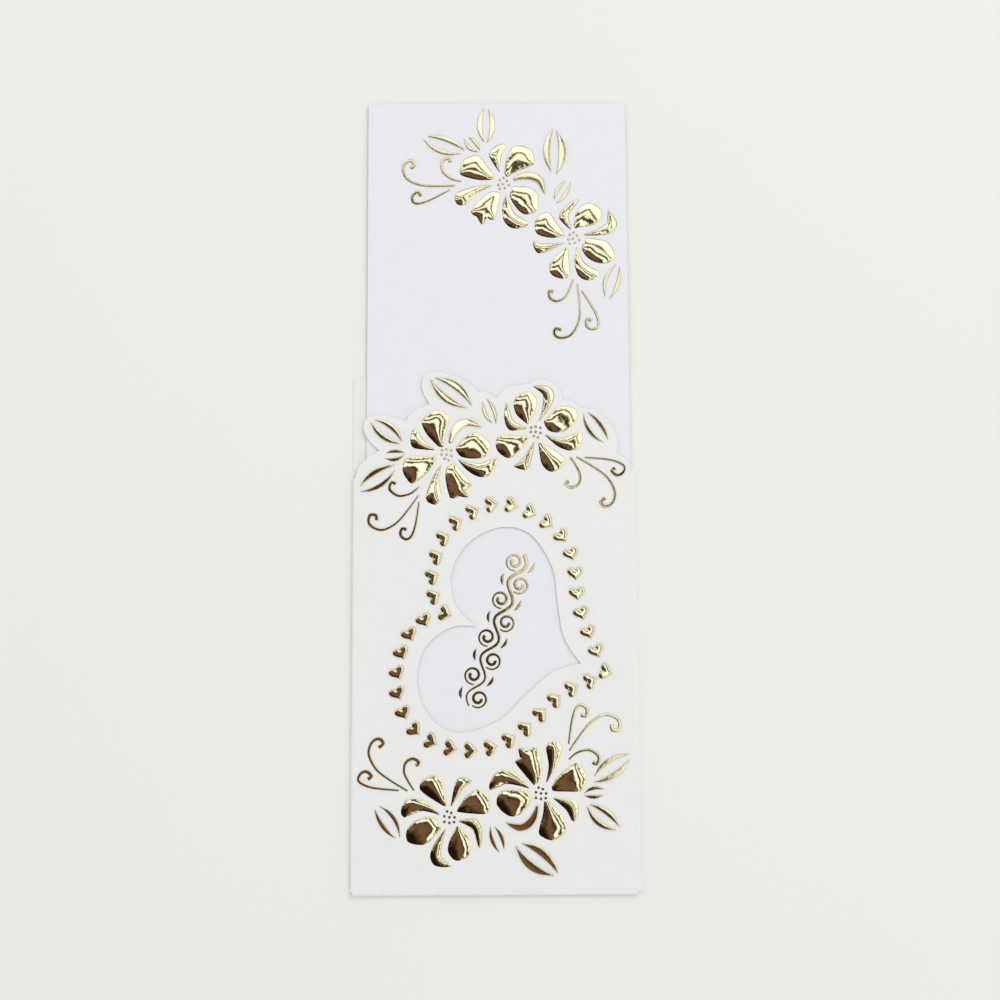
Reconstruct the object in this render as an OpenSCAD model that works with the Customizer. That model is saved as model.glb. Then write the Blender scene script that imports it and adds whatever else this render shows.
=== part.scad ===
// Pocket invitation: a folded card pocket with a heart window and a scalloped front edge, an insert card
// that rests in it, and raised gold foil on both. It lies on its back, with the insert's top towards +Y.

/* [Insert card] */
// Width of the insert card
insert_w = 70; // [60:0.5:80]
// Length of the insert card
insert_l = 210; // [190:1:230]
// Thickness of the insert card
insert_t = 0.35; // [0.2:0.05:0.6]

/* [Pocket] */
// Thickness of the folded sheet
pocket_t = 0.3; // [0.2:0.05:0.5]
// Height of the straight back panel
back_h = 134.8; // [115:0.2:150]
// Width of the glue flaps behind the side folds
flap_w = 8; // [4:0.5:15]
// Length cut away from the side folds above the bottom fold, at the corners
corner_notch = 0.3; // [0.1:0.1:6]

/* [Fit of the insert] */
// Free room left of the insert, up to the side fold
left_room = 3; // [0.3:0.1:5]
// Free room right of the insert, up to the side fold
right_room = 0.3; // [0.2:0.1:5]
// Free room under the insert's bottom edge, up to the bottom fold
bottom_room = 0.25; // [0.1:0.05:2]
// Free room above the stamped insert, under the front panel
slide_room = 0.1; // [0.05:0.05:0.5]

/* [Foil] */
// Height of the embossed relief on the sprays and hearts
relief_h = 0.4; // [0.2:0.05:0.6]
// Height of the stamped flourish in the window
flourish_h = 0.15; // [0.05:0.05:0.3]

/* [Heart window] */
// Bare card beside the border of hearts, as the mean of both sides
border_margin = 8.05; // [6:0.05:10]
// Slope of the heart's axis, from the notch down to the tip
heart_slope = 18.4; // [10:0.1:26]
// Number of small hearts on each side of the border
border_count = 17; // [13:1:18]
// Width of a small heart across its lobes
small_heart_w = 4.4; // [3:0.1:4.8]
// Length of a small heart along its axis
small_heart_l = 3.7; // [2.5:0.1:4.4]
// Length of the flourish in the window
flourish_l = 42; // [30:0.5:44]

/* [Sprays] */
// Bare card between the spray and each side of the panel
spray_margin = 2; // [1.5:0.1:5]
// Bare card under the lower spray
lower_margin = 4.9; // [2:0.1:8]
// Bare card between the lower spray's tallest tendril and the border of hearts
tendril_gap = 1.5; // [0.8:0.1:5]
// Bare card between the border's top heart and the petal above it
petal_gap = 4.9; // [4:0.1:9]
// Turn of the insert card's spray
card_spray_turn = 126.7; // [115:0.1:140]
// Bare card right of the insert card's spray
card_side_margin = 2.2; // [1:0.1:6]
// Bare card above the insert card's spray
card_top_margin = 1.2; // [0.5:0.1:10]

/* [Hidden] */

card_white = [0.94, 0.94, 0.92];
insert_white = [0.92, 0.92, 0.95];
gold = [0.85, 0.68, 0.3];

// Heights of the layers, from the back panel's underside
insert_z = 2 * pocket_t;
flourish_z = insert_z + insert_t;
front_z = flourish_z + flourish_h + slide_room;
relief_z = front_z + pocket_t;

// Folds: the side folds carry the glue flaps, the bottom fold joins the two panels
side_fold_r = (relief_z - pocket_t) / 2;
bottom_fold_r = relief_z / 2;
pocket_w = insert_w + left_room + right_room + 2 * side_fold_r;
front_side = pocket_w / 2 - side_fold_r;
insert_x = (left_room - right_room) / 2;
insert_y = bottom_fold_r + bottom_room;
middle_y = (insert_y + insert_l) / 2;

// The spray is drawn in millimetres about the middle between its two flowers.
// Petals are drawn about the middle of their flower, and each outline starts and ends there.
left_petals = [
    [[-1.4, 2.8], [-4.8, 4.8], [-7.6, 7.1], [-7, 9.3], [-4.7, 10.7], [-2.7, 10.1], [-1.3, 7.8], [-0.7, 3]],
    [[0.3, 2.8], [0.9, 6.2], [1.8, 9.2], [3.1, 10.2], [5.9, 9.2], [4, 7.7], [0.7, 2.9]],
    [[1.9, 1.6], [3.2, 4.1], [5.5, 6.3], [7.4, 7], [9.6, 5.7], [10.6, 3.6], [9.3, 0.8], [2.2, 1.3]],
    [[2.3, -0.9], [6.6, -0.4], [8.2, -2.8], [8.3, -5.9], [7.6, -7.9], [6.8, -5.6], [5.8, -3], [2.5, -1.2]],
    [[1.8, -2.3], [0.2, -5.4], [-0.4, -8.6], [1.6, -10.9], [4.7, -10], [5.8, -7.8], [5, -4.6], [2.2, -2.1]],
    [[-1.2, -3], [-3.7, -6.3], [-5, -9.6], [-3.6, -12.2], [0.6, -12.3], [-2, -10], [-1.7, -6], [-0.9, -3]],
    [[-2.4, -2], [-3.5, -0.3], [-6.1, 0.2], [-9, -0.9], [-11, -3.3], [-10.6, -6.2], [-6, -6.7], [-2.2, -3]],
    [[-2.6, 1], [-5.5, 3.7], [-8.9, 5.1], [-11.4, 4.2], [-12.5, 1.6], [-11.4, 0], [-7.2, 1.6], [-2.7, 0.6]]
];
right_petals = [
    [[-1.8, 2], [-6.5, 7.7], [-5.4, 9.1], [-5.8, 11.5], [-3.2, 11.3], [-0.8, 11.6], [0.4, 5.5], [-0.4, 3]],
    [[1.3, 2.9], [2, 7.1], [1.4, 11.3], [2.4, 13.2], [4.1, 13.2], [5.5, 11.5], [3.8, 6.1], [1.7, 2.9]],
    [[2.7, 1.7], [4.6, 4.5], [8.8, 7.7], [10.6, 6.5], [11.7, 4.3], [11.3, 1.9], [9.6, 0.4], [3.2, 0.6]],
    [[3.2, -1.1], [8.4, -1.6], [9.6, -3.3], [9.4, -5.9], [8.6, -7.1], [7.7, -6.7], [6.4, -4.3], [3.2, -1.4]],
    [[0.7, -2], [0.4, -5.3], [-0.7, -9.5], [0.2, -11], [3.2, -11.8], [6.6, -9], [5, -5], [2, -2]],
    [[-1.3, -3], [-2.8, -5.7], [-5.4, -7.6], [-9.2, -7.2], [-6, -9.4], [-2.9, -8.7], [-0.9, -6], [-0.5, -3]],
    [[-2.3, -1.5], [-3.7, 0.6], [-7.2, 1.2], [-10.4, 0.5], [-11.5, -2.8], [-8.2, -5.7], [-5, -5], [-2.5, -2]],
    [[-2.9, 1.4], [-5, 4], [-8.2, 6], [-11.2, 5.7], [-13, 3.3], [-13.1, 0.8], [-8.8, 2.4], [-3, 1.2]]
];
flowers = [[[-11.8, -3], left_petals], [[11.8, 2.9], right_petals]];

// Stamens about the middle of their flower
stamens = [[-0.6, 1.5], [0.5, 1.1], [-1.3, 0.3], [0, 0], [1.3, 0], [-1.3, -1.1], [0, -1.4], [1.2, -1.2]];
stamen_r = 0.4;

// Leaf halves: the two tips, then how far the outer and the inner edge bow to the left of the chord
leaf_halves = [
    [[-31.1, -0.5], [-25.4, -8.4], -1.5, -0.4],
    [[-30.1, 0.1], [-24.5, -8.2], 2, 1],
    [[-1.3, -5.1], [1.2, -12.1], -1.3, -0.3],
    [[-0.3, -5.3], [2.2, -11.4], 1.2, 0.2],
    [[5.1, -10.1], [15.1, -17.8], -2.7, -0.7],
    [[6.4, -9.5], [16.2, -17.5], 2.4, 0.6],
    [[23.5, -0.3], [31, -6.5], -2.1, -0.7],
    [[24.1, 0.1], [32, -5.8], 1.8, 0.4],
    [[22.8, 2.8], [28.3, 3.8], 1.4, 0.4],
    [[22.8, 2.4], [28, 2.5], -1, 0],
    [[25.3, 6.8], [34.9, 12.8], 2.1, 0.9],
    [[25.3, 5.6], [34.9, 11.5], -1.9, -0.5]
];

// Tendrils, from their thin root to the curl
tendrils = [
    [[-22.5, 3.7], [-29.9, 8.5], [-32.6, 13.2], [-31.6, 16.3], [-29.9, 17], [-28.8, 15.8], [-30.1, 14.8]],
    [[-20.9, 3.8], [-23.3, 7.9], [-23.1, 10.8], [-21.2, 11.9], [-19.6, 10.9], [-20.5, 10.2]],
    [[-24.8, 3.9], [-31.6, 4.6], [-35.1, 6.2], [-34.7, 8.1], [-33.2, 8.7], [-31.8, 7.5], [-32.9, 6.8]],
    [[19.1, 15.4], [19.9, 20.9], [21, 24.4], [22.5, 25.4], [23.9, 24.3], [23.6, 22.6], [22.3, 22.9]],
    [[19.2, 13.7], [24.3, 20.4], [28.8, 22.9], [32.1, 21.4], [32, 19], [30.4, 19.1], [30.3, 20.4]],
    [[19.1, 11.5], [21.2, 13.2], [24.4, 13.9], [26.8, 12.2], [26.3, 10.3], [25.2, 10.8]]
];
tendril_root_w = 0.5;
tendril_curl_w = 0.95;

// Extent of the drawn spray: its span, how far it reaches down and up, the top of its middle petal, its tips
spray_span = 70.5;
spray_foot = 17.9;
spray_head = 25.9;
middle_petal_top = 9.3;
spray_tips = [[-35.6, 6.5], [-32.5, 17], [-31.5, -1], [-25, -8.6], [-13.4, -15.9], [16.3, -17.9],
              [31, -6.5], [32, -5.8], [35.1, 13], [33, 22], [22.5, 25.9]];

// The front's scalloped edge about the middle of the upper spray, lobe by lobe from left to right
left_shoulder = [[-35.5, -7.2], [-34.3, -5.2], [-32.1, -3.3], [-29.6, -1.8]];
lobes = [
    [[-29.6, -1.8], [-32.7, 1.3], [-33.9, 4.6], [-32.6, 7.2], [-28.4, 7.7], [-22.5, 6.1]],
    [[-22.5, 6.1], [-21.7, 7.9], [-19.4, 9.4], [-16.3, 10.6]],
    [[-16.3, 10.6], [-18.5, 15], [-17.4, 18.8], [-13.9, 19.3], [-9.4, 18.2], [-5.2, 15.7], [-3.1, 13.7]],
    [[-3.1, 13.7], [-1.4, 13.9], [1.6, 12.1]],
    [[1.6, 12.1], [2.8, 13.7], [5.4, 15.4], [10.2, 16]],
    [[10.2, 16], [13, 17.4], [16.2, 16.4], [18.4, 14], [19.1, 11.6]],
    [[19.1, 11.6], [21.6, 11.2], [24.3, 9.4]],
    [[24.3, 9.4], [26.5, 9.3], [29.8, 7.2], [32.8, 3.4], [33.5, -0.3], [33.2, -2.6]]
];
right_shoulder = [[33.2, -2.6], [35.2, -3.9], [36.4, -5.4]];
left_shoulder_drop = 9.4;
right_shoulder_drop = 7.4;
upper_shift = -0.6;

// The window's upper half and the paths of the border's two halves, along the heart's axis from the notch.
// The window is cut slightly askew to its border.
window_half = [[0, 0], [-6.3, 2.7], [-10.8, 10], [-9.6, 19.3], [-3.2, 26.3], [5, 27.5], [13.5, 21.2],
               [18, 12.7], [22.6, 4.7], [28.8, 0]];
window_shift = [0.1, 0.5];
window_turn = -1.5;
border_paths = [
    [[-12.8, 4.5], [-15.1, 10.7], [-14.7, 22.1], [-7.6, 31.2], [0.9, 33.6], [12, 31], [18.7, 24.9],
     [23.9, 13.9], [31.9, 3.9]],
    [[-13.3, -2.5], [-16.2, -9.3], [-14.7, -20.7], [-8.4, -29], [1.3, -31.6], [11.9, -29], [19.4, -22.1],
     [26.2, -10], [32.8, -3.6]]
];
notch_heart = [-8.6, 1.1];
tip_heart = [35.9, -0.3];
notch_x = -4.9;
back_lean = 45;

// Extent of the drawn border: its span, how far it hangs below the notch beside the tallest tendril,
// and how far it rises above the notch
border_span = 58.4;
border_drop = 18.1;
border_rise = 34.5;

// The flourish: a waved stem with a spiral and a leaf in each bay, along its own axis
flourish_middle = [5.4, 1.2];
flourish_slope = 88;
bays = 8;
stem_wave = 1.5;
stem_w = 1;
spiral_r = 2.4;
spiral_eye = 0.7;
spiral_turn = 500;
spiral_start = 155;
spiral_drop = 1.7;
spiral_w = 0.9;
leaf_reach = 3.4;
leaf_rise = 0.9;

// Scales and places that follow from the panel's width and the margins
spray_k = (pocket_w - 2 * spray_margin) / spray_span;
heart_k = (pocket_w - 2 * border_margin) / border_span;
lower_y = lower_margin + spray_foot * spray_k;
heart_y = lower_y + spray_head * spray_k + tendril_gap + border_drop * heart_k;
upper_y = heart_y + border_rise * heart_k + petal_gap + middle_petal_top * spray_k;
card_spray_x = insert_x + insert_w / 2 - card_side_margin - spray_k * reach([1, 0], card_spray_turn);
card_spray_y = insert_y + insert_l - card_top_margin - spray_k * reach([0, 1], card_spray_turn);
left_top = [-front_side, upper_y - left_shoulder_drop * spray_k];
right_top = [front_side, upper_y - right_shoulder_drop * spray_k];

// How far the turned spray reaches in a direction from its middle
function reach(way, turn) = max([for (p = spray_tips) turned(p, turn) * way]);
function turned(p, a) = [p.x * cos(a) - p.y * sin(a), p.x * sin(a) + p.y * cos(a)];
function moved(p, by) = [for (q = p) q + by];

// Smooth curve through all points, with corners only at its ends
function curve(p, n = 2) = let (last = len(p) - 1) [
    for (i = [0 : last - 1])
        for (j = [0 : n - 1])
            blend(p[max(i - 1, 0)], p[i], p[i + 1], p[min(i + 2, last)], j / n),
    p[last]
];
function blend(a, b, c, d, t) =
    b + (c - a) * t / 2 + (2 * a - 5 * b + 4 * c - d) * t * t / 2 + (3 * b - a - 3 * c + d) * t * t * t / 2;

// Outline of a stroke that widens along its path
function stroke(path, root_w, end_w) = let (last = len(path) - 1) concat(
    [for (i = [0 : last]) path[i] + side(path, i) * half_width(i / last, root_w, end_w)],
    [for (i = [last : -1 : 0]) path[i] - side(path, i) * half_width(i / last, root_w, end_w)]
);
function half_width(t, root_w, end_w) = (root_w + (end_w - root_w) * sin(90 * t)) / 2;
function side(path, i) =
    let (d = path[min(i + 1, len(path) - 1)] - path[max(i - 1, 0)]) [-d.y, d.x] / norm(d);

// Outline of a crescent between two tips
function crescent(a, b, outer, inner, n = 4) = concat(
    [for (i = [0 : n]) bow(a, b, outer, i / n)],
    [for (i = [n - 1 : -1 : 1]) bow(a, b, inner, i / n)]
);
function bow(a, b, height, t) =
    let (d = b - a) a + d * t + [-d.y, d.x] / norm(d) * 4 * height * t * (1 - t);

// Heart curve with its tip towards +X, about the middle of its length
function heart(w, l, n = 16) = [
    for (i = [0 : n - 1])
        let (a = 360 * i / n, rise = 13 * cos(a) - 5 * cos(2 * a) - 2 * cos(3 * a) - cos(4 * a))
            [-(rise + 2.5) * l / 29, pow(sin(a), 3) * w / 2]
];

// Distance along a path to each of its points, and the point at a distance
function distances(p) = [
    for (i = 0, s = 0; i < len(p); s = s + norm(p[min(i + 1, len(p) - 1)] - p[i]), i = i + 1) s
];
function along(p, s, d) = [
    lookup(d, [for (i = [0 : len(p) - 1]) [s[i], p[i].x]]),
    lookup(d, [for (i = [0 : len(p) - 1]) [s[i], p[i].y]])
];

// Everything is drawn with y from the pocket's bottom edge, then centred
module centred() {
    translate([0, -middle_y, 0])
        children();
}

// One embossed spray on a face at z = 0
module spray(h) {
    for (f = flowers) {
        for (p = f[1])
            linear_extrude(h)
                polygon(moved(curve(p), f[0]) * spray_k);
        for (s = stamens)
            translate((f[0] + s) * spray_k)
                cylinder(h = h, r = stamen_r * spray_k, $fn = 8);
    }
    for (l = leaf_halves)
        linear_extrude(h)
            polygon(crescent(l[0], l[1], l[2], l[3]) * spray_k);
    for (t = tendrils)
        linear_extrude(h)
            polygon(stroke(curve(t), tendril_root_w, tendril_curl_w) * spray_k);
}

// Frame of the heart: origin at the notch, +X along the axis to the tip
module heart_frame() {
    translate([notch_x * heart_k, heart_y, 0])
        rotate(-heart_slope)
            children();
}

module window_outline() {
    half = curve(window_half, 4);
    other_half = [for (i = [len(half) - 2 : -1 : 1]) [half[i].x, -half[i].y]];
    translate(window_shift * heart_k)
        rotate(window_turn)
            polygon(concat(half, other_half) * heart_k);
}

module small_heart(at, turn) {
    translate([at.x, at.y, 0] * heart_k)
        rotate(turn)
            linear_extrude(relief_h)
                polygon(heart(small_heart_w, small_heart_l) * heart_k);
}

// The hearts run from the notch to the tip, and none leans back past back_lean
module half_border(points) {
    path = curve(points, 8);
    s = distances(path);
    step = s[len(s) - 1] / (border_count - 1);
    up = sign(points[1].y);
    for (i = [0 : border_count - 1]) {
        ahead = along(path, s, (i + 0.1) * step) - along(path, s, (i - 0.1) * step);
        small_heart(along(path, s, i * step), up * min(atan2(up * ahead.y, ahead.x), back_lean));
    }
}

// Flat panel of the front, with its scalloped top edge and the heart window
module front_panel() {
    upper = [upper_shift * spray_k, upper_y];
    edge = concat(
        [[-front_side, bottom_fold_r]],
        curve(concat([left_top], moved(left_shoulder * spray_k, upper)), 3),
        [for (l = lobes) each curve(moved(l * spray_k, upper), 3)],
        curve(concat(moved(right_shoulder * spray_k, upper), [right_top]), 3),
        [[front_side, bottom_fold_r]]
    );
    translate([0, 0, front_z])
        linear_extrude(pocket_t)
            difference() {
                polygon(edge);
                heart_frame()
                    window_outline();
            }
}

module back_panel() {
    translate([-pocket_w / 2, bottom_fold_r, 0])
        cube([pocket_w, back_h - bottom_fold_r, pocket_t]);
}

// Half of a folded-over sheet: outer radius r, open towards +X
module fold_section(r) {
    intersection() {
        difference() {
            circle(r, $fn = 24);
            circle(r - pocket_t, $fn = 24);
        }
        translate([-2 * r, -2 * r])
            square([2 * r, 4 * r]);
    }
}

// Side fold on the left, with its glue flap on the back panel, up to a height
module side_fold(top) {
    translate([-front_side, top, pocket_t + side_fold_r])
        rotate([90, 0, 0])
            linear_extrude(top - bottom_fold_r - corner_notch)
                union() {
                    fold_section(side_fold_r);
                    translate([0, -side_fold_r])
                        square([flap_w, pocket_t]);
                }
}

module bottom_fold() {
    translate([-front_side, bottom_fold_r, bottom_fold_r])
        rotate([90, 0, 90])
            linear_extrude(2 * front_side)
                fold_section(bottom_fold_r);
}

// One folded sheet: front, back, bottom fold, side folds and glue flaps
module pocket() {
    color(card_white)
        centred()
            union() {
                front_panel();
                back_panel();
                bottom_fold();
                side_fold(left_top.y);
                mirror([1, 0, 0])
                    side_fold(right_top.y);
            }
}

module insert_card() {
    color(insert_white)
        centred()
            translate([insert_x - insert_w / 2, insert_y, insert_z])
                cube([insert_w, insert_l, insert_t]);
}

module lower_spray_foil() {
    color(gold)
        centred()
            translate([0, lower_y, relief_z])
                spray(relief_h);
}

module upper_spray_foil() {
    color(gold)
        centred()
            translate([upper_shift * spray_k, upper_y, relief_z])
                rotate(180)
                    spray(relief_h);
}

module card_spray_foil() {
    color(gold)
        centred()
            translate([card_spray_x, card_spray_y, flourish_z])
                rotate(card_spray_turn)
                    spray(relief_h);
}

module heart_border_foil() {
    color(gold)
        centred()
            translate([0, 0, relief_z])
                heart_frame() {
                    for (points = border_paths)
                        half_border(points);
                    small_heart(notch_heart, 0);
                    small_heart(tip_heart, 0);
                }
}

// Stem, spirals and leaves of the flourish, drawn along X with its full length
module flourish_art() {
    bay = flourish_l / bays;
    steps = 6;
    stem = [
        for (i = [0 : steps * bays])
            [(i / steps - bays / 2) * bay, stem_wave * sin(180 * i / steps)]
    ];
    linear_extrude(flourish_h)
        polygon(stroke(stem, stem_w / 2, stem_w) * heart_k);
    for (i = [0 : bays - 1])
        translate([(i + 0.5 - bays / 2) * bay, 0, 0] * heart_k)
            mirror([0, i % 2, 0]) {
                linear_extrude(flourish_h)
                    polygon(stroke(spiral(), spiral_w / 2, spiral_w) * heart_k);
                linear_extrude(flourish_h)
                    polygon(crescent([-leaf_reach / 2, stem_wave + leaf_rise],
                                     [leaf_reach / 2, stem_wave + 2 * leaf_rise], leaf_rise, 0) * heart_k);
            }
}
function spiral(n = 18) = [
    for (i = [0 : n])
        let (a = spiral_start + spiral_turn * i / n)
            [0, -spiral_drop] + (spiral_r + (spiral_eye - spiral_r) * i / n) * [cos(a), sin(a)]
];

module flourish_foil() {
    color(gold)
        centred()
            translate([0, 0, flourish_z])
                heart_frame()
                    translate(flourish_middle * heart_k)
                        rotate(flourish_slope)
                            flourish_art();
}

pocket();
insert_card();
lower_spray_foil();
heart_border_foil();
upper_spray_foil();
card_spray_foil();
flourish_foil();
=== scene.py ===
"""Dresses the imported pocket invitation: white card, raised gold foil and a plain pale studio."""

import math

import bpy
import numpy as np
from bpy.props import FloatProperty, FloatVectorProperty, PointerProperty
from mathutils import Matrix, Vector
from mathutils.geometry import delaunay_2d_cdt


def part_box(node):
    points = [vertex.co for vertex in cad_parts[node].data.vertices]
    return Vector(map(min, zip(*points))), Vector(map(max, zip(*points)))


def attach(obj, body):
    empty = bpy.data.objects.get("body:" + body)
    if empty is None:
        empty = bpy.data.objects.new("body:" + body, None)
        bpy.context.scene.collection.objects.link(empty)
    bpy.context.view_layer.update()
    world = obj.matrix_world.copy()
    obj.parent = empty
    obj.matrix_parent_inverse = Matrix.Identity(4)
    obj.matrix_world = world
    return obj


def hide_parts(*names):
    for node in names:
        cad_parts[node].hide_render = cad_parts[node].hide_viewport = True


bl_info = {
    "name": "Pocket Invitation",
    "version": (1, 0, 0),
    "blender": (4, 5, 0),
    "location": "3D View > Sidebar > Invitation",
    "description": "Card, raised gold foil and studio for a pocket invitation with a heart window",
    "category": "Object",
}

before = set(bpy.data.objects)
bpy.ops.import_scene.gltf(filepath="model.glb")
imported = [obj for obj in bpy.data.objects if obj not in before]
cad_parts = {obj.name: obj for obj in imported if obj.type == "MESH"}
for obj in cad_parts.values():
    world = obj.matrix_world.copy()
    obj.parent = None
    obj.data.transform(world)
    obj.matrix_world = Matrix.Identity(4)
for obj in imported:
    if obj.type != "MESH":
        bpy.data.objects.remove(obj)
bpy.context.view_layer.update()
BODY = "root"
MM = 0.001
SPRAYS = ("lower_spray", "upper_spray", "card_spray")
WHITE = (1, 1, 1, 1)


def node_height(node):
    """Height of a CAD node, in metres."""
    low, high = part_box(node)
    return high.z - low.z


class CardSettings(bpy.types.PropertyGroup):
    """Colours and surface of the two cards."""

    pocket_colour: FloatVectorProperty(
        name="Pocket colour", description="Faintly warm white of the folded pocket",
        subtype="COLOR", size=4, min=0, max=1, default=(0.832, 0.832, 0.816, 1))
    insert_colour: FloatVectorProperty(
        name="Insert colour", description="Faintly blue white of the insert card",
        subtype="COLOR", size=4, min=0, max=1, default=(0.816, 0.818, 0.848, 1))
    mottle_size: FloatProperty(
        name="Mottle size", description="Width of the cloudy patches in the card",
        unit="LENGTH", min=0.0005, max=0.02, default=0.0035)
    fibre_size: FloatProperty(
        name="Fibre size", description="Width of the fibres that show in the card",
        unit="LENGTH", min=0.00005, max=0.002, default=0.00016)
    tooth: FloatProperty(
        name="Tooth", description="Depth of the card's grain",
        unit="LENGTH", min=0, max=0.0001, default=0.000012)


class FoilSettings(bpy.types.PropertyGroup):
    """Form and finish of the embossed gold foil."""

    relief: FloatProperty(
        name="Relief", description="Height of the sprays and hearts over the card",
        unit="LENGTH", min=0.0001, max=0.001, default=node_height("lower_spray_foil"))
    stamp: FloatProperty(
        name="Stamp", description="Height of the flourish over the card",
        unit="LENGTH", min=0.00005, max=0.0005, default=node_height("flourish_foil"))
    shoulder: FloatProperty(
        name="Shoulder", description="Width of the rounded rise inside an outline",
        unit="LENGTH", min=0.0002, max=0.004, default=0.0024)
    lip: FloatProperty(
        name="Lip", description="Width of the flat foil at the foot of the rise",
        unit="LENGTH", min=0, max=0.0005, default=0.00012)
    fullness: FloatProperty(
        name="Fullness", description="Roundness of the rise: 1 is a straight slope, 2 is round",
        min=1, max=4, default=1.7)
    ripple: FloatProperty(
        name="Ripple", description="Depth of the soft waves that the stamping leaves in the foil",
        unit="LENGTH", min=0, max=0.0001, default=0.00004)
    ripple_size: FloatProperty(
        name="Ripple size", description="Width of those waves",
        unit="LENGTH", min=0.0005, max=0.01, default=0.0024)
    colour: FloatVectorProperty(
        name="Foil colour", description="Gold of the foil",
        subtype="COLOR", size=4, min=0, max=1, default=(0.92, 0.76, 0.48, 1))


class StudioSettings(bpy.types.PropertyGroup):
    """Floor, lamp and surroundings."""

    floor_colour: FloatVectorProperty(
        name="Floor colour", description="Pale floor under the invitation",
        subtype="COLOR", size=4, min=0, max=1, default=(0.845, 0.84, 0.80, 1))
    lamp_power: FloatProperty(
        name="Lamp power", description="Power of the large soft lamp",
        subtype="POWER", min=0, max=100, default=4.0)
    sky: FloatProperty(
        name="Sky", description="Strength of the even light from all round",
        min=0, max=2, default=0.82)


# Small helpers for objects and nodes

def link_object(name, data):
    """Puts a mesh, lamp or camera in the scene as an object at the origin."""
    obj = bpy.data.objects.new(name, data)
    bpy.context.scene.collection.objects.link(obj)
    return obj


def darker(colour, level):
    """A colour at a lower level, with full alpha."""
    return [*(c * level for c in colour[:3]), 1]


def add(tree, kind, inputs=None, **options):
    """Adds a node with its options, and fills its inputs with values or links."""
    node = tree.nodes.new(kind)
    for key, value in options.items():
        setattr(node, key, value)
    for key, value in (inputs or {}).items():
        if isinstance(value, bpy.types.NodeSocket):
            tree.links.new(value, node.inputs[key])
        else:
            node.inputs[key].default_value = value
    return node


def calc(tree, operation, a, b=0.0, clamp=False):
    """Output of a Math node."""
    return add(tree, "ShaderNodeMath", {0: a, 1: b}, operation=operation, use_clamp=clamp).outputs[0]


def times(tree, a, b):
    """Product of two values."""
    return calc(tree, "MULTIPLY", a, b)


def share(tree, part, whole):
    """A part over the whole, held between 0 and 1."""
    return calc(tree, "DIVIDE", part, whole, clamp=True)


def rest(tree, part):
    """What a share leaves of 1."""
    return calc(tree, "SUBTRACT", 1.0, part)


def ramp(tree, value, limits, results=(0.0, 1.0)):
    """Output of a Map Range node: the results at two limits, and an even change between them."""
    return add(tree, "ShaderNodeMapRange", {0: value, 1: limits[0], 2: limits[1],
                                            3: results[0], 4: results[1]}).outputs[0]


def blend(tree, factor, a, b):
    """Output of a colour Mix node."""
    return add(tree, "ShaderNodeMix", {0: factor, 6: a, 7: b}, data_type="RGBA").outputs[2]


def noise(tree, vector, scale, detail=2.0, roughness=0.5):
    """Grey output of a Noise Texture node."""
    inputs = {"Vector": vector, "Scale": scale, "Detail": detail, "Roughness": roughness}
    return add(tree, "ShaderNodeTexNoise", inputs).outputs[0]


# Outlines of the foil, taken from the CAD nodes' upper faces: how far below the top still counts as top,
# the decimals by which points are matched, and the turn past which a point stays a corner

TOP_SLACK = 1e-6
POINT_DIGITS = 7
CORNER = math.radians(62)


def top_outlines(node):
    """Closed outlines of a node's upper faces, anticlockwise from above, in metres."""
    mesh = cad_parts[node].data
    mesh.calc_loop_triangles()
    co = np.array([v.co for v in mesh.vertices])
    top = co[:, 2].max() - TOP_SLACK
    edges = set()
    for tri in mesh.loop_triangles:
        corners = co[list(tri.vertices)]
        if corners[:, 2].min() < top:
            continue
        keys = [tuple(p) for p in np.round(corners[:, :2], POINT_DIGITS)]
        for a, b in zip(keys, keys[1:] + keys[:1]):
            if (b, a) in edges:
                edges.remove((b, a))
            else:
                edges.add((a, b))
    following = dict(sorted(edges))
    outlines = []
    while following:
        start, point = next(iter(following.items()))
        del following[start]
        outline = [start]
        while point != start:
            outline.append(point)
            point = following.pop(point)
        outlines.append(np.array(outline))
    return outlines


def area_of(outline):
    """Area inside an anticlockwise outline."""
    x, y = outline.T
    return 0.5 * float(np.sum(x * np.roll(y, -1) - np.roll(x, -1) * y))


def turns_of(outline):
    """Turning angle at each point of a closed outline, in radians, left turns positive."""
    ahead = np.roll(outline, -1, axis=0) - outline
    behind = outline - np.roll(outline, 1, axis=0)
    cross = behind[:, 0] * ahead[:, 1] - behind[:, 1] * ahead[:, 0]
    return np.arctan2(cross, np.sum(behind * ahead, axis=1))


def smooth_run(points, spacing):
    """Points at about a spacing on a smooth curve through an open run of points, without its last one."""
    padded = np.vstack([2 * points[0] - points[1], points, 2 * points[-1] - points[-2]])
    samples = []
    for a, b, c, d in zip(padded, padded[1:], padded[2:], padded[3:]):
        count = max(1, math.ceil(np.linalg.norm(c - b) / spacing))
        t = (np.arange(count) / count)[:, None]
        samples.append(b + (c - a) * t / 2 + (2 * a - 5 * b + 4 * c - d) * t**2 / 2
                       + (3 * b - a - 3 * c + d) * t**3 / 2)
    return np.vstack(samples)


def smooth_outline(outline, spacing):
    """A closed outline as a smooth curve through its points, with its corners kept."""
    corners = np.flatnonzero(np.abs(turns_of(outline)) > CORNER)
    if len(corners) == 0:
        corners = np.array([0])
    ends = np.append(corners[1:], corners[0] + len(outline))
    runs = [np.take(outline, range(a, b + 1), axis=0, mode="wrap") for a, b in zip(corners, ends)]
    return np.vstack([smooth_run(run, spacing) for run in runs])


def rim_distance(points, rim):
    """Distance from each point to the nearest edge of a closed rim."""
    best = np.full(len(points), np.inf)
    for a, b in zip(rim, np.roll(rim, -1, axis=0)):
        ab = b - a
        t = np.clip((points - a) @ ab / (ab @ ab), 0, 1)
        best = np.minimum(best, np.hypot(*(points - a - t[:, None] * ab).T))
    return best


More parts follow.
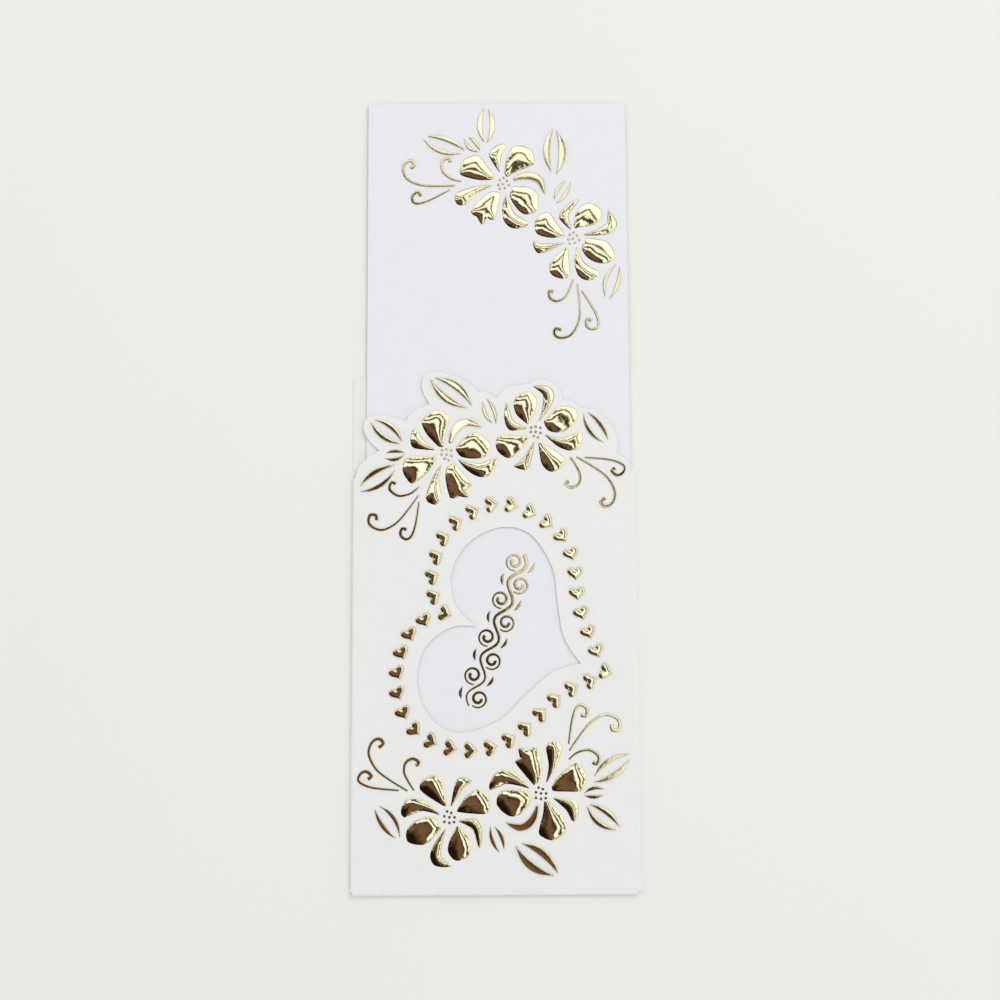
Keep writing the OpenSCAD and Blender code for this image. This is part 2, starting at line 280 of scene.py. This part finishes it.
def inside(points, rim):
    """Which points lie inside a closed rim."""
    hits = np.zeros(len(points), bool)
    for (ax, ay), (bx, by) in zip(rim, np.roll(rim, -1, axis=0)):
        if ay != by:
            crosses = (ay > points[:, 1]) != (by > points[:, 1])
            hits ^= crosses & (points[:, 0] < (bx - ax) * (points[:, 1] - ay) / (by - ay) + ax)
    return hits


# Flat mesh under the foil: steps along a rim, depths of the rings inside it, and an even field within them.
# Two points keep a share of their step apart, and each keeps a share of its depth from the rim.
RIM_STEP = 0.18 * MM
RINGS = np.array([0.03, 0.07, 0.13, 0.2, 0.3]) * MM
FIELD_STEP = 0.22 * MM
APART = 0.6
CLEAR_OF_RIM = 0.97


def inner_points(rim, rings, spacing):
    """Points inside a rim: rings that follow it, then an even field."""
    ahead = np.roll(rim, -1, axis=0) - np.roll(rim, 1, axis=0)
    inward = np.column_stack([-ahead[:, 1], ahead[:, 0]]) / np.linalg.norm(ahead, axis=1)[:, None]
    low, high = rim.min(axis=0), rim.max(axis=0)
    rows = np.arange(low[1], high[1], spacing * math.sqrt(3) / 2)
    field = np.array([(x, y) for i, y in enumerate(rows)
                      for x in np.arange(low[0] + (i % 2) * spacing / 2, high[0], spacing)])
    points = np.vstack([rim + inward * depth for depth in rings] + [field])
    counts = [len(rim)] * len(rings) + [len(field)]
    depths = np.repeat([*rings, rings[-1] + spacing / 2], counts)
    gaps = np.repeat(np.diff([0, *rings, rings[-1] + spacing]) * APART, counts)
    keep = inside(points, rim)
    keep[keep] = rim_distance(points[keep], rim) > CLEAR_OF_RIM * depths[keep]
    cells, chosen = {}, []
    for p, gap in zip(points[keep], gaps[keep]):
        column, row = np.floor(p / spacing).astype(int)
        near = [q for i in (-1, 0, 1) for j in (-1, 0, 1) for q in cells.get((column + i, row + j), ())]
        if all(math.dist(p, q) > gap for q in near):
            cells.setdefault((column, row), []).append(p)
            chosen.append(p)
    return np.array(chosen).reshape(-1, 2)


# The form of an island of foil follows from its half width and its stretch: area over half width squared.
# Each of the first four holds two limits and the values there.
ROUND_BY_WIDTH = (0.9 * MM, 1.6 * MM), (0.0, 1.0)
ROUND_BY_STRETCH = (11, 15), (1.0, 0.0)
CROWN_BY_WIDTH = (0.4 * MM, 0.85 * MM), (0.3, 1.0)
CROWN_BY_STRETCH = (10, 15), (0.17, 0.06)
# Islands under the full half width lie lower, by a power. The rise is a fillet, and on round islands a dome too.
FULL_HALF_WIDTH = 0.8 * MM
SLIM_POWER = 1.4
FILLET = 0.04 * MM
FILLET_SHARE = 0.1
DOME_SHARE = 0.8
MEASURES = ("relief", "lip", "shoulder", "half_width", "crown")


def island_form(rim, half_width, height, foil):
    """Measures of one island of foil.

    Wide ones swell to a dome. Small ones stay lower, and long slim ones keep a flat top.
    """
    stretch = area_of(rim) / half_width**2
    rounded = np.interp(half_width, *ROUND_BY_WIDTH) * np.interp(stretch, *ROUND_BY_STRETCH)
    crown = np.interp(half_width, *CROWN_BY_WIDTH) * np.interp(stretch, *CROWN_BY_STRETCH)
    lip = rounded * foil.lip
    fillet = FILLET + FILLET_SHARE * half_width
    shoulder = min(foil.shoulder, fillet + DOME_SHARE * rounded * (half_width - lip))
    relief = height * min(1, half_width / FULL_HALF_WIDTH) ** SLIM_POWER
    return relief, lip, shoulder, half_width, crown


def relief_base(name, outlines, z, height, foil):
    """Flat mesh of foil islands at a height, with each point's own measures for the foil tree."""
    inside_only, join_below = 1, 1e-5
    points, faces, measures = [], [], []
    for outline in outlines:
        rim = smooth_outline(outline, RIM_STEP)
        flat = [Vector(p) for p in np.vstack([rim, inner_points(rim, RINGS, FIELD_STEP)]) / MM]
        edges = [(i, (i + 1) % len(rim)) for i in range(len(rim))]
        found, _, triangles, sources, *_ = delaunay_2d_cdt(flat, edges, [], inside_only, join_below)
        within = np.array([not own or own[0] >= len(rim) for own in sources])
        used, corners = np.unique([tri for tri in triangles if within[tri].any()], return_inverse=True)
        found = np.array([tuple(p) for p in found])[used] * MM
        half_width = float(rim_distance(found, rim).max())
        faces.extend((len(points) + corners.reshape(-1, 3)).tolist())
        points.extend((x, y, z) for x, y in found)
        measures.extend([island_form(rim, half_width, height, foil)] * len(found))
    mesh = bpy.data.meshes.new(name)
    mesh.from_pydata(points, [], faces)
    for label, values in zip(MEASURES, np.array(measures).T):
        mesh.attributes.new(label, "FLOAT", "POINT").data.foreach_set("value", np.ascontiguousarray(values))
    return mesh


# Node trees that shape the foil

def new_tree(name, inputs):
    """Geometry node tree with a Geometry input and output and the named inputs."""
    tree = bpy.data.node_groups.new(name, "GeometryNodeTree")
    tree.is_modifier = True
    tree.interface.new_socket("Geometry", in_out="INPUT", socket_type="NodeSocketGeometry")
    tree.interface.new_socket("Geometry", in_out="OUTPUT", socket_type="NodeSocketGeometry")
    for label, kind in inputs.items():
        tree.interface.new_socket(label, in_out="INPUT", socket_type="NodeSocket" + kind)
    return tree, add(tree, "NodeGroupInput").outputs


def own_value(tree, label):
    """A number that each point of the mesh carries."""
    return add(tree, "GeometryNodeInputNamedAttribute", {"Name": label}, data_type="FLOAT").outputs[0]


def close_tree(tree, geometry, material):
    """Realizes what a tree made, gives it its material and hands it out."""
    real = add(tree, "GeometryNodeRealizeInstances", {"Geometry": geometry})
    dressed = add(tree, "GeometryNodeSetMaterial", {"Geometry": real.outputs[0], "Material": material})
    add(tree, "NodeGroupOutput", {"Geometry": dressed.outputs[0]})


# Shoulder widths between which foil goes from crisp to soft, and depths between which smoothing sets in
SOFT_SHOULDERS = (0.3 * MM, 1.2 * MM)
SMOOTHED_DEPTHS = (0.15 * MM, 0.6 * MM)
SMOOTHING_STEPS = 20
# The upright edge of the foil: its width, and its share of the height
SKIRT_WIDTH = 0.04 * MM
SKIRT_SHARE = 0.06
# Share of the ripple that crisp foil gets, the wave value that leaves foil level, the rise up to which the foot
# carries painted shade, and the distance below which points are joined
CRISP_RIPPLE = 0.3
RIPPLE_MIDDLE = 0.6
SHADED_FOOT_RISE = 0.35
WELD = 2e-6


def from_rim(tree, base):
    """Distance of each point of flat islands from their rims."""
    faces = add(tree, "GeometryNodeInputMeshEdgeNeighbors").outputs["Face Count"]
    single = add(tree, "FunctionNodeCompare", {2: faces, 3: 1}, data_type="INT", operation="EQUAL").outputs[0]
    rim = add(tree, "GeometryNodeSeparateGeometry", {"Geometry": base, "Selection": single}, domain="EDGE")
    return add(tree, "GeometryNodeProximity", {0: rim.outputs[0]}, target_element="EDGES").outputs["Distance"]


def dome_rise(tree, near, own, fullness, soft):
    """Rise of the foil from its lip to its crown, from 0 to 1."""
    fall = rest(tree, share(tree, calc(tree, "SUBTRACT", near, own["lip"]), own["shoulder"]))
    sunk = rest(tree, calc(tree, "POWER", fall, fullness))
    sharp = calc(tree, "POWER", sunk, calc(tree, "DIVIDE", 1.0, fullness))
    inward = rest(tree, share(tree, near, own["half_width"]))
    crown = rest(tree, times(tree, inward, inward))
    crowning = times(tree, own["crown"], calc(tree, "SUBTRACT", crown, sharp))
    crowned = calc(tree, "ADD", sharp, crowning)
    weight = times(tree, soft, ramp(tree, near, SMOOTHED_DEPTHS))
    inputs = {0: crowned, "Iterations": SMOOTHING_STEPS, "Weight": weight}
    return add(tree, "GeometryNodeBlurAttribute", inputs, data_type="FLOAT").outputs[0]


def puff_tree(name):
    """Tree that raises flat islands to puffed foil: a thin lip, a steep rise and a gently rippled dome."""
    tree, given = new_tree(name, {"Fullness": "Float", "Ripple": "Float", "Ripple Size": "Float",
                                  "Full Height": "Float", "Foil": "Material"})
    base = given["Geometry"]
    near = from_rim(tree, base)
    own = {label: own_value(tree, label) for label in MEASURES}
    soft = ramp(tree, own["shoulder"], SOFT_SHOULDERS)
    dome = dome_rise(tree, near, own, given["Fullness"], soft)
    skirt = times(tree, share(tree, near, SKIRT_WIDTH), SKIRT_SHARE)
    rise = calc(tree, "ADD", skirt, times(tree, dome, 1 - SKIRT_SHARE))
    place = add(tree, "GeometryNodeInputPosition").outputs[0]
    waves = noise(tree, place, calc(tree, "DIVIDE", 1.0, given["Ripple Size"]))
    held = times(tree, dome, ramp(tree, soft, (0, 1), (CRISP_RIPPLE, 1.0)))
    depth = times(tree, given["Ripple"], held)
    wave = times(tree, calc(tree, "SUBTRACT", waves, RIPPLE_MIDDLE), depth)
    lift = calc(tree, "ADD", times(tree, own["relief"], rise), wave)
    offset = add(tree, "ShaderNodeCombineXYZ", {"Z": lift}).outputs[0]
    upper = add(tree, "GeometryNodeSetPosition", {"Geometry": base, "Offset": offset}).outputs[0]
    # Painted shade: the tone falls towards the foot of each island and is lower on low islands, and the foil
    # material darkens with it
    tall = calc(tree, "DIVIDE", own["relief"], given["Full Height"])
    tone = times(tree, share(tree, rise, SHADED_FOOT_RISE), tall)
    upper = add(tree, "GeometryNodeStoreNamedAttribute", {"Geometry": upper, "Name": "tone", "Value": tone},
                data_type="FLOAT", domain="POINT").outputs[0]
    upper = add(tree, "GeometryNodeSetShadeSmooth", {"Geometry": upper, "Shade Smooth": True}).outputs[0]
    under = add(tree, "GeometryNodeFlipFaces", {"Mesh": base}).outputs[0]
    under = add(tree, "GeometryNodeSetShadeSmooth", {"Geometry": under, "Shade Smooth": False}).outputs[0]
    both = add(tree, "GeometryNodeJoinGeometry", {"Geometry": upper})
    tree.links.new(under, both.inputs[0])
    closed = add(tree, "GeometryNodeMergeByDistance", {"Geometry": both.outputs[0], "Distance": WELD})
    close_tree(tree, closed.outputs[0], given["Foil"])
    return tree


def repeat_tree(name):
    """Tree that sets one small piece on each place, turned as the place says."""
    tree, given = new_tree(name, {"Piece": "Object", "Foil": "Material"})
    piece = add(tree, "GeometryNodeObjectInfo", {"Object": given["Piece"]}).outputs["Geometry"]
    rotation = add(tree, "ShaderNodeCombineXYZ", {"Z": own_value(tree, "turn")}).outputs[0]
    copies = add(tree, "GeometryNodeInstanceOnPoints",
                 {"Points": given["Geometry"], "Instance": piece, "Rotation": rotation}).outputs[0]
    close_tree(tree, copies, given["Foil"])
    return tree


def shared_tree(name, make):
    """The tree of that name, made at its first use."""
    return bpy.data.node_groups.get(name) or make(name)


def grow(name, mesh, tree, inputs):
    """Runs a tree on a mesh and returns an object that holds the result as a plain mesh."""
    obj = link_object(name, mesh)
    modifier = obj.modifiers.new(tree.name, "NODES")
    modifier.node_group = tree
    sockets = {s.name: s.identifier for s in tree.interface.items_tree if s.in_out == "INPUT"}
    for label, value in inputs.items():
        modifier[sockets[label]] = value
    depsgraph = bpy.context.evaluated_depsgraph_get()
    grown = bpy.data.meshes.new_from_object(obj.evaluated_get(depsgraph), depsgraph=depsgraph)
    obj.modifiers.remove(modifier)
    obj.data = grown
    return obj


def puffed(name, outlines, z, height):
    """Puffed foil over the given outlines."""
    foil = bpy.context.scene.invitation_foil
    inputs = {"Fullness": foil.fullness, "Ripple": foil.ripple, "Ripple Size": foil.ripple_size,
              "Full Height": foil.relief, "Foil": foil_material()}
    base = relief_base(name, outlines, z, height, foil)
    return grow(name, base, shared_tree("puffed_foil", puff_tree), inputs)


def repeated(name, piece, places, turns):
    """Copies of a small piece at the places, as one object. The piece itself goes."""
    mesh = bpy.data.meshes.new(name)
    mesh.from_pydata(places, [], [])
    mesh.attributes.new("turn", "FLOAT", "POINT").data.foreach_set("value", turns)
    inputs = {"Piece": piece, "Foil": foil_material()}
    obj = grow(name, mesh, shared_tree("repeated_foil", repeat_tree), inputs)
    bpy.data.objects.remove(piece)
    return obj


def settle(obj, node):
    """Rides a finished piece on the body in place of its CAD node."""
    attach(obj, BODY)
    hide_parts(node)


# Finishes. Patterns are given as repeats in a metre, unless a setting holds their size.

FOIL_CLOUDS, FOIL_SCUFFS, FOIL_GRAIN = 420, 1500, 2600
# Painted shade on the foil: its darkest colour as shares of the gold, the tone limits over which it lifts, and
# how much full height lifts it
FOOT_PAINTED_SHADE = (0.62, 0.54, 0.44)
TONE_LIMITS = (0.0, 0.8)
SHADE_LIFT_WEIGHT, FOIL_CLOUD_WEIGHT = 0.8, 0.3
SCUFF_LIMITS, FOIL_ROUGHNESS = (0.3, 0.75), (0.03, 0.09)
GRAIN_STRENGTH, GRAIN_DEPTH = 0.35, 0.01 * MM

CARD_SHADE = 0.965
FIBRE_STRETCH = (1, 0.16, 1)
MOTTLE_WEIGHT, FIBRE_WEIGHT = 0.55, 0.45
CARD_TONE_LIMITS = (0.34, 0.62)
FIBRE_LIMITS, CARD_ROUGHNESS = (0.3, 0.7), (0.72, 0.9)
CARD_GLOSS = 0.3
TOOTH_STRENGTH = 0.6


def new_material(name):
    """Material with an empty tree and a Principled shader that is joined to its output."""
    material = bpy.data.materials.new(name)
    material.use_nodes = True
    tree = material.node_tree
    tree.nodes.clear()
    shader = add(tree, "ShaderNodeBsdfPrincipled")
    add(tree, "ShaderNodeOutputMaterial", {"Surface": shader.outputs[0]})
    return material, tree, shader


def object_place(tree, stretch=(1, 1, 1)):
    """Object coordinates, stretched along each axis."""
    place = add(tree, "ShaderNodeTexCoord").outputs["Object"]
    return add(tree, "ShaderNodeMapping", {"Vector": place, "Scale": stretch}).outputs[0]


def foil_material():
    """Bright gold foil with a fine pressed grain, with painted shade that darkens it where it lies low."""
    name = "embossed_gold"
    found = bpy.data.materials.get(name)
    if found:
        return found
    material, tree, shader = new_material(name)
    gold = bpy.context.scene.invitation_foil.colour
    # Painted shade: a darker gold, shown where the stored tone says the foil lies low
    painted_shade = [*(c * level for c, level in zip(gold, FOOT_PAINTED_SHADE)), 1]
    place = object_place(tree)
    tone = add(tree, "ShaderNodeAttribute", attribute_name="tone").outputs["Fac"]
    cloud = times(tree, noise(tree, place, FOIL_CLOUDS, detail=3), FOIL_CLOUD_WEIGHT)
    high = times(tree, ramp(tree, tone, TONE_LIMITS), SHADE_LIFT_WEIGHT)
    bright = calc(tree, "ADD", high, cloud, clamp=True)
    tree.links.new(blend(tree, bright, painted_shade, gold), shader.inputs["Base Color"])
    shader.inputs["Metallic"].default_value = 1.0
    scuffs = noise(tree, place, FOIL_SCUFFS, detail=4, roughness=0.6)
    tree.links.new(ramp(tree, scuffs, SCUFF_LIMITS, FOIL_ROUGHNESS), shader.inputs["Roughness"])
    grain = noise(tree, place, FOIL_GRAIN, detail=3)
    bump = add(tree, "ShaderNodeBump", {"Height": grain, "Strength": GRAIN_STRENGTH, "Distance": GRAIN_DEPTH})
    tree.links.new(bump.outputs[0], shader.inputs["Normal"])
    return material


def card_material(name, colour):
    """Smooth uncoated card: cloudy tone, fibres that lie along the sheet and a fine tooth."""
    card = bpy.context.scene.invitation_card
    material, tree, shader = new_material(name)
    place = object_place(tree)
    along = object_place(tree, FIBRE_STRETCH)
    cloud = noise(tree, place, 1 / card.mottle_size, detail=4, roughness=0.6)
    fibres = noise(tree, along, 1 / card.fibre_size, detail=3, roughness=0.65)
    mixed = calc(tree, "ADD", times(tree, cloud, MOTTLE_WEIGHT), times(tree, fibres, FIBRE_WEIGHT))
    tone = ramp(tree, mixed, CARD_TONE_LIMITS)
    tree.links.new(blend(tree, tone, darker(colour, CARD_SHADE), list(colour)), shader.inputs["Base Color"])
    tree.links.new(ramp(tree, fibres, FIBRE_LIMITS, CARD_ROUGHNESS), shader.inputs["Roughness"])
    shader.inputs["Specular IOR Level"].default_value = CARD_GLOSS
    tooth = add(tree, "ShaderNodeBump", {"Height": calc(tree, "ADD", fibres, cloud),
                                         "Strength": TOOTH_STRENGTH, "Distance": card.tooth})
    tree.links.new(tooth.outputs[0], shader.inputs["Normal"])
    return material


def dress(node, material):
    """Gives a CAD node that keeps its shape a better material."""
    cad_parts[node].material_slots[0].material = material


class INVITATION_OT_pocket(bpy.types.Operator):
    """Finish the folded pocket"""

    bl_idname = "invitation.pocket"
    bl_label = "Pocket"

    def execute(self, context):
        dress("pocket", card_material("pocket_stock", context.scene.invitation_card.pocket_colour))
        return {"FINISHED"}


class INVITATION_OT_insert(bpy.types.Operator):
    """Finish the insert card"""

    bl_idname = "invitation.insert"
    bl_label = "Insert card"

    def execute(self, context):
        dress("insert_card", card_material("insert_stock", context.scene.invitation_card.insert_colour))
        return {"FINISHED"}


class INVITATION_OT_sprays(bpy.types.Operator):
    """Raise the three floral sprays, petals first and stamens after"""

    bl_idname = "invitation.sprays"
    bl_label = "Floral sprays"

    def execute(self, context):
        height = context.scene.invitation_foil.relief
        stamen_area = 0.8 * MM * MM
        for spray in SPRAYS:
            node = spray + "_foil"
            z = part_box(node)[0].z
            outlines = top_outlines(node)
            petals = [o for o in outlines if area_of(o) > stamen_area]
            dots = [o for o in outlines if area_of(o) <= stamen_area]
            if not dots:
                raise RuntimeError("no stamens found in " + node)
            settle(puffed(spray + "_relief", petals, z, height), node)
            bead = puffed("stamen", [dots[0] - dots[0].mean(axis=0)], 0.0, height)
            places = [(*o.mean(axis=0), z) for o in dots]
            settle(repeated(spray + "_stamens", bead, places, [0.0] * len(places)), node)
        return {"FINISHED"}


class INVITATION_OT_heart_border(bpy.types.Operator):
    """Raise the ring of small hearts round the window"""

    bl_idname = "invitation.heart_border"
    bl_label = "Border of hearts"

    def execute(self, context):
        node = "heart_border_foil"
        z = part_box(node)[0].z
        places, turns, outlines = [], [], top_outlines(node)
        for outline in outlines:
            bend = turns_of(outline)
            axis = outline[bend.argmax()] - outline[bend.argmin()]
            places.append((*outline.mean(axis=0), z))
            turns.append(math.atan2(axis[1], axis[0]))
        c, s = math.cos(turns[0]), math.sin(turns[0])
        upright = (outlines[0] - outlines[0].mean(axis=0)) @ np.array([[c, -s], [s, c]])
        heart = puffed("small_heart", [upright], 0.0, context.scene.invitation_foil.relief)
        settle(repeated("heart_border_relief", heart, places, turns), node)
        return {"FINISHED"}


class INVITATION_OT_flourish(bpy.types.Operator):
    """Raise the stamped flourish in the window"""

    bl_idname = "invitation.flourish"
    bl_label = "Flourish"

    def execute(self, context):
        node = "flourish_foil"
        height = context.scene.invitation_foil.stamp
        settle(puffed("flourish_relief", top_outlines(node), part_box(node)[0].z, height), node)
        return {"FINISHED"}


# Studio, in metres

FLOOR_HALF = 3.0
FLOOR_DROP = 0.01 * MM
FLOOR_CLOUDS, FLOOR_SHADE = 9, 0.985
FLOOR_ROUGHNESS, FLOOR_GLOSS = 0.9, 0.1
LAMP_PLACE, LAMP_SIZE = (0.5, 0.55, 0.95), 0.8
CAMERA_PLACE = (0.48 * MM, -46.95 * MM, 368.4 * MM)
CAMERA_RIGHT = (0.999981, -0.005564, 0.002518)
CAMERA_UP = (0.005231, 0.993097, 0.117179)
CAMERA_BACK = (-0.003152, -0.117164, 0.993108)
CAMERA_SENSOR, CAMERA_LENS = 36.0, 50.4
CAMERA_CLIP = (0.01, 20)

# What the foil mirrors, from the near left (-1) over the edge of a brown ceiling (0) to the far right (1)
ROOM = (
    (-1.0, (0.03, 0.02, 0.014)),
    (-0.5, (0.008, 0.005, 0.003)),
    (-0.28, (0.008, 0.005, 0.003)),
    (-0.2, (0.05, 0.031, 0.021)),
    (-0.13, (0.12, 0.075, 0.05)),
    (-0.05, (0.1, 0.063, 0.042)),
    (-0.025, (0.03, 0.018, 0.012)),
    (0.0, (0.008, 0.005, 0.003)),
    (0.015, (0.64, 0.72, 0.66)),
    (0.035, (0.8, 0.95, 1.15)),
    (0.08, (0.8, 0.95, 1.15)),
    (0.095, (0.64, 0.72, 0.66)),
    (0.103, (0.08, 0.055, 0.034)),
    (0.13, (0.02, 0.0125, 0.008)),
    (0.165, (0.07, 0.05, 0.03)),
    (0.178, (0.64, 0.72, 0.66)),
    (0.2, (0.8, 0.95, 1.15)),
    (0.245, (0.64, 0.72, 0.66)),
    (0.256, (0.12, 0.09, 0.055)),
    (0.272, (0.03, 0.02, 0.013)),
    (0.288, (0.12, 0.09, 0.055)),
    (0.3, (0.64, 0.72, 0.66)),
    (0.34, (0.84, 1.0, 1.2)),
    (0.6, (0.76, 0.88, 1.0)),
    (1.0, (0.5, 0.53, 0.55)),
)
ROOM_SPAN = (-1, 1)
ROOM_LEVEL = 1.5
# Each edge of the ceiling: how much a step to the right and a step away count, and where the edge lies
CEILING_EDGES = ((1.0, 0.0, 0.12), (0.0, 1.0, 0.17), (0.85, 0.53, 0.02))
EDGE_WAVES, EDGE_WAVE_MIDDLE, EDGE_WAVE_DEPTH = 5, 0.5, 0.08
# Heights, as the upward part of a direction, between which the near walls darken and all walls turn warmer
DARK_WALL_LIMITS, DARK_WALL_SHIFT = (0.95, 0.3), (0.0, 0.6)
WARM_WALL_LIMITS, WARM_WALL_TONE = (0.35, 0.75), (0.5, 0.42, 0.32, 1)


def build_floor(colour):
    """Wide pale floor under the invitation."""
    mesh = bpy.data.meshes.new("floor")
    corners = [(-1, -1), (1, -1), (1, 1), (-1, 1)]
    mesh.from_pydata([(x * FLOOR_HALF, y * FLOOR_HALF, -FLOOR_DROP) for x, y in corners], [], [(0, 1, 2, 3)])
    material, tree, shader = new_material("floor")
    cloud = noise(tree, object_place(tree), FLOOR_CLOUDS, detail=3)
    tone = blend(tree, cloud, darker(colour, FLOOR_SHADE), list(colour))
    tree.links.new(tone, shader.inputs["Base Color"])
    shader.inputs["Roughness"].default_value = FLOOR_ROUGHNESS
    shader.inputs["Specular IOR Level"].default_value = FLOOR_GLOSS
    mesh.materials.append(material)
    link_object("floor", mesh)


def build_lamp(power):
    """Large soft lamp above the far right corner."""
    lamp = bpy.data.lights.new("soft_lamp", "AREA")
    lamp.energy, lamp.size = power, LAMP_SIZE
    obj = link_object("soft_lamp", lamp)
    obj.location = LAMP_PLACE
    obj.rotation_euler = (-obj.location).to_track_quat("-Z", "Y").to_euler()
    obj.visible_glossy = False


def room_colour(tree):
    """Colour of the mirrored room in each direction."""
    way = add(tree, "ShaderNodeTexCoord").outputs["Generated"]
    parts = add(tree, "ShaderNodeSeparateXYZ", {0: way}).outputs
    past = []
    for right, far, edge in CEILING_EDGES:
        reach = calc(tree, "ADD", times(tree, parts["X"], right), times(tree, parts["Y"], far))
        past.append(calc(tree, "SUBTRACT", reach, edge))
    past_edge = calc(tree, "MAXIMUM", calc(tree, "MAXIMUM", past[0], past[1]), past[2])
    waves = calc(tree, "SUBTRACT", noise(tree, way, EDGE_WAVES), EDGE_WAVE_MIDDLE)
    lean = calc(tree, "ADD", past_edge, times(tree, waves, EDGE_WAVE_DEPTH))
    dark_wall = times(tree, calc(tree, "LESS_THAN", lean, 0.0),
                      ramp(tree, parts["Z"], DARK_WALL_LIMITS, DARK_WALL_SHIFT))
    along_room = ramp(tree, calc(tree, "SUBTRACT", lean, dark_wall), ROOM_SPAN)
    bands = add(tree, "ShaderNodeValToRGB", {0: along_room})
    stops = bands.color_ramp.elements
    for place, colour in ROOM[1:-1]:
        stops.new((place + 1) / 2).color = (*colour, 1)
    stops[0].color, stops[-1].color = (*ROOM[0][1], 1), (*ROOM[-1][1], 1)
    warmth = blend(tree, ramp(tree, parts["Z"], WARM_WALL_LIMITS), WARM_WALL_TONE, WHITE)
    warmed = add(tree, "ShaderNodeVectorMath", {0: bands.outputs[0], 1: warmth}, operation="MULTIPLY")
    inputs = {0: warmed.outputs[0], "Scale": ROOM_LEVEL}
    return add(tree, "ShaderNodeVectorMath", inputs, operation="SCALE").outputs[0]


def build_world(sky):
    """Even white light, with a room that only gloss mirrors: brown overhead, pale to the right and far."""
    world = bpy.data.worlds.new("studio")
    bpy.context.scene.world = world
    world.use_nodes = True
    tree = world.node_tree
    tree.nodes.clear()
    rays = add(tree, "ShaderNodeLightPath").outputs
    plain = blend(tree, rays["Is Camera Ray"], (sky, sky, sky, 1), WHITE)
    seen = blend(tree, rays["Is Glossy Ray"], plain, room_colour(tree))
    background = add(tree, "ShaderNodeBackground", {"Color": seen})
    add(tree, "ShaderNodeOutputWorld", {"Surface": background.outputs[0]})


def build_camera():
    """Camera almost straight above, as the photograph was taken."""
    data = bpy.data.cameras.new("camera")
    data.sensor_width, data.lens = CAMERA_SENSOR, CAMERA_LENS
    data.clip_start, data.clip_end = CAMERA_CLIP
    obj = link_object("camera", data)
    turn = Matrix((CAMERA_RIGHT, CAMERA_UP, CAMERA_BACK)).transposed().to_4x4()
    obj.matrix_world = Matrix.Translation(CAMERA_PLACE) @ turn
    bpy.context.scene.camera = obj


class INVITATION_OT_studio(bpy.types.Operator):
    """Set up the floor, the light and the camera"""

    bl_idname = "invitation.studio"
    bl_label = "Studio"

    def execute(self, context):
        studio = context.scene.invitation_studio
        build_floor(studio.floor_colour)
        build_lamp(studio.lamp_power)
        build_world(studio.sky)
        build_camera()
        context.scene.view_settings.view_transform = "Standard"
        return {"FINISHED"}


OPERATORS = (INVITATION_OT_pocket, INVITATION_OT_insert, INVITATION_OT_sprays, INVITATION_OT_heart_border,
             INVITATION_OT_flourish, INVITATION_OT_studio)
SETTINGS = {"invitation_card": CardSettings, "invitation_foil": FoilSettings,
            "invitation_studio": StudioSettings}


class INVITATION_PT_panel(bpy.types.Panel):
    """Pieces and settings of the invitation"""

    bl_idname = "INVITATION_PT_panel"
    bl_label = "Invitation"
    bl_space_type = "VIEW_3D"
    bl_region_type = "UI"
    bl_category = "Invitation"

    def draw(self, context):
        for operator in OPERATORS:
            self.layout.operator(operator.bl_idname)
        for name, group in SETTINGS.items():
            box = self.layout.box()
            for key in group.__annotations__:
                box.prop(getattr(context.scene, name), key)


def register():
    """Adds the settings, the operators and the panel to Blender."""
    for group in SETTINGS.values():
        bpy.utils.register_class(group)
    for cls in (*OPERATORS, INVITATION_PT_panel):
        bpy.utils.register_class(cls)
    for name, group in SETTINGS.items():
        setattr(bpy.types.Scene, name, PointerProperty(type=group))


def unregister():
    """Takes them out again."""
    for name in SETTINGS:
        delattr(bpy.types.Scene, name)
    for cls in (INVITATION_PT_panel, *reversed(OPERATORS)):
        bpy.utils.unregister_class(cls)
    for group in reversed(SETTINGS.values()):
        bpy.utils.unregister_class(group)


def main():
    register()
    bpy.ops.invitation.pocket()
    bpy.ops.invitation.insert()
    bpy.ops.invitation.sprays()
    bpy.ops.invitation.heart_border()
    bpy.ops.invitation.flourish()
    bpy.ops.invitation.studio()


if __name__ == "__main__":
    main()
